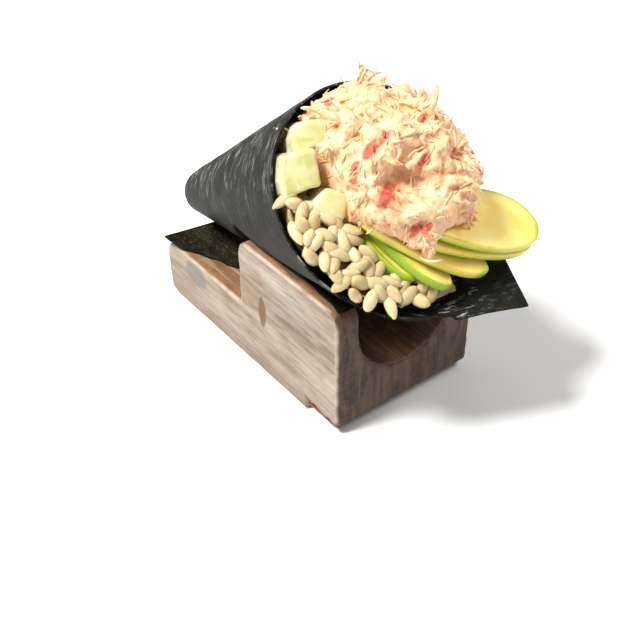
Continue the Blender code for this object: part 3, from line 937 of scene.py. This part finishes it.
def mouth_point(right, up, out=0.0):
    """A point near the mouth, from millimetres to the right, up and out of its plane."""
    return MOUTH + (MOUTH_RIGHT * right + MOUTH_UP * up + MOUTH_NORMAL * out) * MM


def mouth_place(point):
    """Right, up and out of a point, in millimetres from the middle of the mouth."""
    local = (point - MOUTH) / MM
    return local.dot(MOUTH_RIGHT), local.dot(MOUTH_UP), local.dot(MOUTH_NORMAL)


INWARD = (cone_point(0.35, 30 * MM) - cone_point(0.35, RIM_DISTANCE)).normalized()


def wall_room(point):
    """Angle about the axis, distance from the apex along the cone, and room to its wall."""
    offset = point - APEX
    along = offset.dot(AXIS)
    aside = offset - AXIS * along
    room = (along * math.tan(CONE_HALF_ANGLE) - aside.length) * math.cos(CONE_HALF_ANGLE)
    turn = math.atan2(aside.dot(UP), aside.dot(LEFT))
    if turn < BOTTOM:
        turn += 2 * math.pi
    return turn, along / math.cos(CONE_HALF_ANGLE), room


def can_be_seen(point, normal, deepest, facing):
    """1 where the filling shows in the mouth or above the rim, 0 where a sheet covers it."""
    turn, distance, room = wall_room(point)
    _, _, out = mouth_place(point)
    if out < deepest or normal.dot(MOUTH_NORMAL) < facing:
        return 0.0
    if room < WALL_REACH and distance < sheet_end(turn) - 1.0 * MM:
        return 0.0
    if point.z < LOWEST_SEEN:
        return 0.0
    return 1.0


def behind_fillings(point, normal):
    """Whether a bit of crab lies left of the cucumber, or faces the avocado below it."""
    right, up, _ = mouth_place(point)
    if normal.dot(MOUTH_UP) < -0.6 and right < 10.0:
        return True
    return right < -13.0 - max(up - 16.0, 0.0) * 0.2 and up < 22.0


def mark_open(piece, deepest, facing, hidden):
    """Stores for each vertex whether it can be seen, and returns the list."""
    shares = [
        0.0 if hidden(vertex.co, normal) else can_be_seen(vertex.co, normal, deepest, facing)
        for vertex, normal in zip(piece.data.vertices, normals_of(piece))
    ]
    store(piece, "open", shares)
    return shares

# %% [markdown]
# ## Rice
# Sushi rice is plump, glossy and slightly see-through, and each grain is a separate body about
# 6.5 mm long. A smaller core fills the roll, and grains stand on it where it shows; there the core
# is painted dark brown as the shade in the gaps. Four slightly different grains are enough once
# each has its own turn and size.

# %% Rice core and grains
GRAIN_LENGTH = 6.7 * MM
GRAIN_WIDTH = 3.5 * MM
GRAIN_SPACING = 2.45 * MM
GRAINS_PER_AREA = 600000.0
GRAIN_KINDS = 4
RICE_CELL = 0.9 * MM
RICE_SINK = 1.9 * MM
RICE_DEEPEST = -9.0
RICE_FACING = 0.12


def grain(k):
    """One grain: an oval body, a little flat, bent and blunter at one end."""
    shape = bmesh.new()
    bmesh.ops.create_uvsphere(shape, u_segments=10, v_segments=8, radius=1.0)
    length = GRAIN_LENGTH * (0.92 + 0.06 * k)
    width = GRAIN_WIDTH * (1.04 - 0.04 * k)
    for vertex in shape.verts:
        along, side, up = vertex.co.z, vertex.co.x, vertex.co.y
        blunt = (1.0 + 0.12 * along) * (1.0 - 0.14 * along ** 4)
        bend = 0.10 * (k - 1.2) * along * along
        vertex.co = Vector((
            along * length / 2,
            side * width / 2 * blunt,
            (up * 0.88 * blunt - bend) * width / 2,
        ))
    bmesh.ops.recalc_face_normals(shape, faces=shape.faces[:])
    return loose(f"grain_{k}", shape)


def rice_finish():
    material, net = new_finish("cooked_rice")
    place = net.place()
    cloud = net.noise(place, 320.0, 2.0)
    colour = net.mix(net.attribute("tone"), rgba(196, 170, 118), rgba(230, 209, 164))
    colour = net.mix(cloud.ramp(0.45, 0.7) * 0.5, colour, rgba(232, 214, 172))
    # Painted shade: the core shows dark brown where grains stand on it, as the shade in the gaps
    # between them.
    colour = net.mix(net.attribute("deep") * 0.85, colour, rgba(104, 80, 46))
    bump = net.bump(net.noise(place, 500.0, 2.0), 0.4, 0.25)
    finish(net, colour, 0.28, bump, moist(0.4, (1.0, 0.75, 0.4), 1.8, 0.45, 0.1))
    return material


def beyond_rice(place, _):
    return mouth_place(place)[0] > 2.0


def sunk_place(place, normal, seen):
    """Deep where grains stand on the core, and a little way in elsewhere."""
    return place - normal * RICE_SINK * (0.35 + 0.65 * seen)


RICE = rice_finish()
rice_core = even_grid("rice_core", copy_node("rice"), RICE_CELL)
rice_open = mark_open(rice_core, RICE_DEEPEST, RICE_FACING, beyond_rice)
grains = scatter(
    "rice_grains", rice_core, [grain(k) for k in range(GRAIN_KINDS)], Finish=RICE,
    Spacing=GRAIN_SPACING, Density=GRAINS_PER_AREA, Tilt=0.75, Smallest=0.86, Largest=1.08, Seed=4,
)
reshape(rice_core, sunk_place, rice_open)
# Where grains stand, the core gets the painted gap shade.
store(rice_core, "deep", rice_open)
claim(rice_core, RICE, "rice", "rice")
claim(grains, RICE, "rice")

# %% [markdown]
# ## Crab salad
# Crab sticks are pulled into threads and mixed with mayonnaise, which gives a heap of creamy
# clumps with threads lying every way, loose ends that stick up, and red bits from the outside of
# the sticks. A lumpy core, short threads and a few big tufts melt into one creamy skin on a voxel
# grid. Longer threads then lie on it.

# %% Lumpy core of the heap
CRAB_CELL = 0.75 * MM
CRAB_DEEPEST = -26.0
CRAB_FACING = -0.9
# Right, up, out and reach of each red bit, in millimetres.
RED_BITS = (
    (-7.0, -2.0, 15.4, 4.2),
    (-7.0, -4.8, 16.6, 1.8),
    (-3.9, -12.0, 14.3, 2.6),
    (-1.5, -12.6, 15.0, 2.0),
    (-6.4, 8.5, 15.6, 2.6),
    (-3.0, 9.6, 17.0, 2.2),
    (-10.0, 7.0, 12.6, 1.5),
    (-12.2, 3.8, 12.0, 1.8),
    (7.2, 15.0, 15.2, 2.4),
    (8.6, 10.4, 15.9, 2.2),
    (2.6, 1.4, 19.0, 1.9),
    (11.6, 0.0, 17.1, 2.2),
    (-3.0, 24.7, 3.0, 2.0),
)
STREAK = (MOUTH_RIGHT * 0.85 + MOUTH_UP * 0.5).normalized()
HOLLOW = mouth_point(-3.2, -1.0, 19.0)
HOLLOW_RADIUS = 8.5 * MM
CORE_SINK = 0.3 * MM
SIDE_DEPTH = 9
RED_SIZE = 0.7


def lump(place):
    """Height of the clumps over the smooth heap, in metres."""
    rolling = drift(place, 95, 2.0) * 3.4
    folds = (0.32 - abs(drift(place, 210, 4.0))) * 2.4
    crumbs = (0.3 - abs(drift(place, 560, 8.0))) * 1.0
    hollow = max(1.0 - (place - HOLLOW).length / HOLLOW_RADIUS, 0.0) ** 0.8 * 6.5
    return (rolling + folds + crumbs - hollow - 0.9) * MM


def beside_sticks(place):
    """1 in the narrow space between the cucumber and the left wall, which is empty."""
    right, up, _ = mouth_place(place)
    return smooth_step(-11.5, -14.5, right + max(up - 16.0, 0.0) * 0.2) * smooth_step(24.0, 21.0, up)


def red_share(place):
    """How red a bit of crab is: 1 in the middle of a piece of the sticks' red outside."""
    best = 0.0
    for right, up, out, radius in RED_BITS:
        centre = mouth_point(right, up, out)
        offset = place - centre
        offset -= MOUTH_NORMAL * offset.dot(MOUTH_NORMAL) * 0.6
        offset -= STREAK * offset.dot(STREAK) * 0.55
        best = max(best, 1.0 - offset.length / (radius * RED_SIZE * MM))
    return best


def clumpy_place(place, normal, seen):
    moved = place + normal * (lump(place) * seen - CORE_SINK)
    return moved + INWARD * beside_sticks(place) * SIDE_DEPTH * MM


crab_core = even_grid("crab_core", copy_node("crab_salad"), CRAB_CELL)
crab_open = mark_open(crab_core, CRAB_DEEPEST, CRAB_FACING, behind_fillings)
reshape(crab_core, clumpy_place, crab_open)

# %% Threads of crab
HEAP_CELL = 0.46 * MM
FLAKE_SPACING = 0.95 * MM
THREAD_SPACING = 1.7 * MM
FLAKES_PER_AREA = 1600000.0
THREADS_PER_AREA = 400000.0


def thread(k, length, width, bend, curl):
    """A flat tapering strand along X, five-sided, bent and lifted at one end."""
    shape = bmesh.new()
    steps = 6
    rings = []
    for i in range(steps + 1):
        s = i / steps
        taper = (math.sin(math.pi * (0.12 + 0.83 * s)) ** 0.55) * (0.85 + 0.2 * math.sin(9 * s + k))
        middle = Vector((
            (s - 0.5) * length,
            math.sin(s * 3.0 + k) * bend,
            curl * (s - 0.35) ** 2 * 2.0 + 0.08 * bend * math.sin(7 * s),
        ))
        twist = 0.9 * s + k
        ring = []
        for corner in range(5):
            turn = 2 * math.pi * corner / 5 + twist
            ring.append(shape.verts.new(middle + Vector((
                0.0,
                math.cos(turn) * width / 2 * taper,
                math.sin(turn) * width / 2 * 0.7 * taper,
            ))))
        rings.append(ring)
    for first, second in zip(rings, rings[1:]):
        for corner in range(5):
            after = (corner + 1) % 5
            shape.faces.new((first[corner], second[corner], second[after], first[after]))
    shape.faces.new(rings[0])
    shape.faces.new(list(reversed(rings[-1])))
    bmesh.ops.recalc_face_normals(shape, faces=shape.faces[:])
    return loose(f"thread_{k:02d}", shape)


def short_threads():
    return [
        thread(k, (2.6 + 0.42 * k) * MM, (0.95 + 0.14 * (k % 4)) * MM, 0.6 * MM, 0.25 * MM)
        for k in range(8)
    ]


def long_threads():
    return [
        thread(k, (3.6 + 0.6 * k) * MM, (0.65 + 0.1 * (k % 3)) * MM, 0.8 * MM, -0.9 * MM)
        for k in range(6)
    ]


def crab_finish():
    material, net = new_finish("crab_salad")
    place = net.place()
    tone = net.attribute("tone")
    cloud = net.noise(place, 260.0, 3.0, 0.6)
    grainy = net.noise(place, 1500.0, 3.0, 0.6)
    colour = net.mix(tone, rgba(236, 176, 130), rgba(249, 216, 176))
    colour = net.mix(cloud.ramp(0.45, 0.7) * 0.5, colour, rgba(246, 196, 146))
    colour = net.mix((1 - tone.ramp(0.0, 0.12)) * 0.5, colour, rgba(232, 146, 98))
    edge = net.attribute("red") + (cloud - 0.5) * 0.7
    blush = net.mix(grainy.ramp(0.35, 0.65), rgba(196, 58, 48), rgba(232, 112, 90))
    colour = net.mix(edge.ramp(0.22, 0.5) * 0.9, colour, blush)
    pepper = net.noise(place, 900.0, 1.0, 0.4).ramp(0.735, 0.76)
    colour = net.mix(pepper * 0.7, colour, rgba(120, 84, 52))
    bump = net.bump(grainy * 0.7 + cloud * 0.3, 0.8, 0.4)
    finish(net, colour, 0.42, bump, moist(0.25, (1.0, 0.55, 0.35), 1.2))
    return material


def melt_together(name, pieces, cell):
    """Several meshes as one creamy skin: what lies on the core sinks into it."""
    shape = bmesh.new()
    for piece in pieces:
        shape.from_mesh(piece.data)
        bpy.data.objects.remove(piece)
    made = even_grid(name, shape, cell)
    smooth = made.modifiers.new("creamy", "SMOOTH")
    smooth.factor = 0.5
    smooth.iterations = 1
    bake_modifiers(made)
    made.data.shade_smooth()
    return made


def colour_crab(piece):
    """Red bits, and slow changes of tone over what isn't told apart by threads."""
    places = [vertex.co for vertex in piece.data.vertices]
    store(piece, "red", [red_share(place) for place in places])
    if "tone" not in piece.data.attributes:
        store(piece, "tone", [0.5 + 0.9 * drift(place, 420) for place in places])


# Right, up and out of the foot and of the end of each tuft, then its width at the foot.
TUFTS = (
    ((6.4, 20.0, 4.0), (8.9, 29.4, 5.7), 7.0),
    ((4.0, 21.0, 4.6), (5.6, 27.0, 5.0), 5.4),
    ((7.4, 20.0, 6.4), (11.0, 25.0, 6.6), 4.4),
    ((5.8, 19.6, 9.6), (8.9, 20.7, 11.6), 2.6),
    ((9.4, 9.5, 15.0), (15.0, 16.2, 18.6), 4.8),
    ((12.0, 11.2, 13.6), (12.6, 16.4, 13.6), 2.2),
    ((10.4, 3.9, 17.2), (14.7, 6.4, 19.9), 1.7),
    ((12.2, 1.1, 16.4), (17.2, 4.0, 19.1), 1.5),
    ((10.8, -4.5, 17.0), (15.5, -5.7, 19.6), 1.5),
    ((7.0, -9.4, 16.4), (10.5, -12.6, 18.4), 1.7),
    ((-1.7, 19.5, 6.8), (-4.6, 24.2, 6.1), 3.0),
    ((-3.5, 18.6, 7.6), (-12.0, 25.2, 5.1), 3.6),
    ((-9.0, 13.0, 8.8), (-14.6, 13.8, 7.6), 3.0),
    ((-1.4, 1.6, 17.6), (7.4, 3.8, 21.6), 2.2),
    ((-4.0, 4.4, 17.4), (-3.0, 1.6, 20.2), 1.8),
    ((-9.0, 1.0, 14.0), (-15.0, 0.4, 9.6), 2.4),
    ((9.0, 17.0, 7.0), (13.0, 21.4, 10.0), 8.0),
    ((12.5, 14.5, 10.0), (15.4, 17.6, 12.0), 7.0),
    ((5.5, 19.5, 6.0), (8.6, 23.0, 9.0), 7.0),
)


def add_tuft(shape, foot, end, width, seed):
    """A wavy strand from its foot to its end, thick at the foot."""
    start, finish_place = mouth_point(*foot), mouth_point(*end)
    along = (finish_place - start).normalized()
    side = along.cross(MOUTH_NORMAL + MOUTH_UP * 0.3).normalized()
    lift = side.cross(along)
    steps, corners = 12, 7
    rings = []
    for i in range(steps + 1):
        s = i / steps
        radius = width / 2 * MM * (1 - 0.75 * s) * (1 + 0.45 * drift((s, seed, 0.0), 5.0))
        wave = side * math.sin(5 * s + seed) + lift * math.sin(4 * s + 2 * seed)
        middle = start.lerp(finish_place, s) + wave * width * 0.14 * MM
        ring = []
        for k in range(corners):
            turn = 2 * math.pi * k / corners
            reach = radius * (1 + 0.4 * drift((k * 0.9, s * 6, seed), 1.7))
            ring.append(shape.verts.new(
                middle + (side * math.cos(turn) + lift * math.sin(turn) * 0.75) * reach
            ))
        rings.append(ring)
    skin_rings(shape, rings)


def make_tufts():
    shape = bmesh.new()
    for seed, (foot, end, width) in enumerate(TUFTS):
        add_tuft(shape, foot, end, width, seed)
    bmesh.ops.recalc_face_normals(shape, faces=shape.faces[:])
    return loose("tufts", shape)


CRAB = crab_finish()
flakes = scatter(
    "crab_flakes", crab_core, short_threads(), Finish=CRAB,
    Spacing=FLAKE_SPACING, Density=FLAKES_PER_AREA, Tilt=0.5, Smallest=0.75, Largest=1.3, Seed=7,
)
heap = melt_together("crab_heap", (crab_core, flakes, make_tufts()), HEAP_CELL)
mark_open(heap, CRAB_DEEPEST, CRAB_FACING, behind_fillings)
threads = scatter(
    "crab_threads", heap, long_threads(), Finish=CRAB,
    Spacing=THREAD_SPACING, Density=THREADS_PER_AREA, Tilt=0.25, Smallest=0.6, Largest=1.15, Seed=9,
)
colour_crab(heap)
colour_crab(threads)
claim(heap, CRAB, "crab", "crab_salad")
claim(threads, CRAB, "crab")

# %% [markdown]
# ## Cucumber
# The sticks are cut from the pale inside of a cucumber. Their corners are soft, their long sides
# are nearly white, and the cut ends are wetter and greener. The imported boxes are given even cells,
# made a little uneven, widened on their left, and told apart by how far a point is from the end
# of its stick.

# %% Cucumber sticks
# Right, up and out of the middle of each cut end.
STICKS = ((-11.6, 18.2, 6.0), (-18.0, 11.4, 6.0), (-14.4, 1.6, 5.0))
STICK_CELL = 0.4 * MM
STICK_REACH = 2.6 * MM


def cucumber_finish():
    material, net = new_finish("cut_cucumber")
    place = net.place()
    cloud = net.noise(place, 260.0, 3.0, 0.6, 0.6)
    fibres = net.noise(place, 900.0, 2.0, 0.6)
    side = net.mix(cloud.ramp(0.35, 0.65), rgba(212, 212, 164), rgba(232, 228, 194))
    tip = net.mix(cloud.ramp(0.35, 0.65), rgba(204, 206, 132), rgba(228, 222, 170))
    colour = net.mix(net.attribute("end").ramp(0.2, 0.7), side, tip)
    colour = net.mix(fibres.ramp(0.6, 0.75) * 0.3, colour, rgba(190, 206, 120))
    bump = net.bump(cloud * 0.6 + fibres * 0.4, 0.4, 0.25)
    finish(net, colour, 0.3, bump, moist(0.35, (1.0, 1.0, 0.6), 1.8, 0.3, 0.15))
    return material


def uneven_cut(place, normal, _):
    return place + normal * (drift(place, 120, 6.0) * 0.22 + drift(place, 650) * 0.05) * MM


def wider_to_the_left(place, _, middle):
    """The left half of a stick reaches for the wall and falls back, which shows its long side."""
    right = mouth_place(place)[0]
    free = wall_room(place)[2] - 1.0 * MM
    reach = min(smooth_step(0.0, -2.0, right - middle) * STICK_REACH, max(free, 0.0))
    return place - (MOUTH_RIGHT + MOUTH_NORMAL * 0.7) * reach


CUCUMBER = cucumber_finish()
for k, seat in enumerate(STICKS, 1):
    stick = even_grid(f"cucumber_{k}", copy_node(f"cucumber_stick_{k}"), STICK_CELL)
    depth = [(vertex.co - mouth_point(*seat)).dot(INWARD) / MM for vertex in stick.data.vertices]
    store(stick, "end", [1 - smooth_step(0.4, 1.4, value) for value in depth])
    reshape(stick, uneven_cut)
    reshape(stick, wider_to_the_left, [seat[0]] * len(depth))
    claim(stick, CUCUMBER, "cucumber", f"cucumber_stick_{k}")

# %% [markdown]
# ## Avocado
# The slices are fanned like a hand of cards. A ripe slice is pale yellow in the middle and turns
# lime, then green, within three millimetres of where the skin was. Each slice is rebuilt from
# rings that shrink towards its middle, with a rounded edge, and every point stores its distance
# from the outline, which drives the colour.

# %% Avocado slices
FAN_PIVOT = Vector((-9.7, -27.3, 57.2)) * MM
FAN_NORMAL = Vector((0.25, -0.45, 0.86)).normalized()
FAN_GAP = 0.35 * MM
SLICE = 2.4 * MM
SLICE_EDGE = 0.8 * MM
SLICE_BOW = 0.18 * MM
OUTLINE_STEPS = 96
FLAT_INSETS = (0.9, 0.7, 0.5, 0.32, 0.2, 0.12)
# Right and up of each tip, then heading, length and width. The lowest comes first.
FAN = (
    (1.2, -16.2, -66, 17, 8),
    (1.2, -24.4, -76, 22, 9),
    (7.0, -30.0, -68, 30, 11),
    (18.8, -30.4, -41, 36, 12.5),
    (37.4, -27.2, -19, 44, 17.5),
    (39.0, -25.0, -17, 40, 22),
)


def slice_outline(length, width):
    """Seen from above: blunt and wide near its tip, narrow at the other end."""
    outline = []
    for k in range(OUTLINE_STEPS):
        turn = 2 * math.pi * k / OUTLINE_STEPS
        x = length / 2 * (math.cos(turn) - 1)
        outline.append(Vector((x, width / 2 * math.sin(turn) * (0.85 + 0.15 * math.cos(turn)))))
    return outline


def gap_to_outline(place, outline):
    """Distance of a place to the nearest side of the outline."""
    best = 1.0
    for k, first in enumerate(outline):
        side = first - outline[k - 1]
        along = (place - outline[k - 1]).dot(side) / side.length_squared
        nearest = outline[k - 1] + side * min(max(along, 0.0), 1.0)
        best = min(best, (place - nearest).length)
    return best


def slice_rings():
    """Height and inset of each ring, from the middle of the underside to the top's middle."""
    half = [(0.0, inset) for inset in FLAT_INSETS]
    for k in range(5):
        turn = math.pi / 2 * k / 4
        half.append((SLICE_EDGE * (1 - math.cos(turn)), SLICE_EDGE * (1 - math.sin(turn))))
    return half + [(SLICE - height, inset) for height, inset in reversed(half)]


def skin_share(turn, layer):
    """1 where the slice still shows the green side that was next to the skin."""
    if layer < 3:
        return smooth_step(0.6, -0.2, math.sin(turn))
    return max(smooth_step(-0.6, 0.2, math.sin(turn)), smooth_step(0.7, 0.95, math.cos(turn)))


def avocado_slice(name, place, layer):
    right, up, heading, length, width = place
    base = (Vector((1.0, 0.0, 0.0)) - FAN_NORMAL * FAN_NORMAL.x).normalized()
    side = FAN_NORMAL.cross(base)
    along = base * math.cos(math.radians(heading)) + side * math.sin(math.radians(heading))
    across = FAN_NORMAL.cross(along)
    tip = FAN_PIVOT + (base * right + side * up) * MM + FAN_NORMAL * (SLICE + FAN_GAP) * layer
    outline = slice_outline(length * MM, width * MM)
    middle = Vector((-length / 2, 0.0)) * MM
    profile = slice_rings()
    shape = bmesh.new()
    rings, rims = [], []
    for k, (height, inset) in enumerate(profile):
        flat_ring = min(k, len(profile) - 1 - k) < len(FLAT_INSETS)
        ring = []
        for step, point in enumerate(outline):
            aside = point - middle
            plan = middle + aside * (1 - (inset if flat_ring else inset / aside.length))
            bow = SLICE_BOW * drift((plan.x, plan.y, layer * 0.01), 190)
            lift = height + (bow if flat_ring else bow * 0.5)
            spot_place = tip + along * plan.x + across * plan.y + FAN_NORMAL * lift
            ring.append(shape.verts.new(spot_place))
            cut_side = 1 - skin_share(2 * math.pi * step / OUTLINE_STEPS, layer)
            paler = cut_side * (0.2 + 2.4 * height / SLICE) + 0.3 * height / SLICE
            rims.append(gap_to_outline(plan, outline) / MM + paler)
        rings.append(ring)
    skin_rings(shape, rings)
    bmesh.ops.recalc_face_normals(shape, faces=shape.faces[:])
    made = loose(name, shape)
    store(made, "rim", rims)
    store(made, "ripe", [layer / 5.0] * len(rims))
    made.data.shade_smooth()
    return made


def avocado_finish():
    material, net = new_finish("ripe_avocado")
    place = net.place()
    ripe = net.attribute("ripe")
    cloud = net.noise(place, 130.0, 3.0, 0.6)
    fine = net.noise(place, 700.0, 3.0, 0.6)
    rim = net.attribute("rim") * (1.5 - 0.8 * ripe) + (cloud - 0.5) * 1.2
    rim = rim - (1 - ripe).ramp(0.7, 1.0) * 1.6
    middle = net.mix(cloud.ramp(0.35, 0.65), rgba(250, 214, 92), rgba(254, 230, 132))
    colour = net.mix(rim.ramp(0.8, 2.8), rgba(222, 216, 84), middle)
    colour = net.mix(rim.ramp(0.3, 1.5), rgba(150, 186, 48), colour)
    colour = net.mix(rim.ramp(-0.9, 0.15), rgba(84, 122, 28), colour)
    marks = net.noise(net.scaled(place, 1.0, 0.4, 1.0), 420.0, 2.0, 0.5).ramp(0.68, 0.76)
    colour = net.mix(marks * 0.35, colour, rgba(190, 150, 60))
    bump = net.bump(cloud * 0.5 + fine * 0.5, 0.3, 0.2)
    finish(net, colour, 0.38, bump, moist(0.2, (1.0, 0.8, 0.2), 1.2))
    return material


AVOCADO = avocado_finish()
for layer, place in enumerate(FAN):
    made = avocado_slice(f"avocado_{layer + 1}", place, layer)
    claim(made, AVOCADO, "avocado", f"avocado_slice_{layer + 1}")
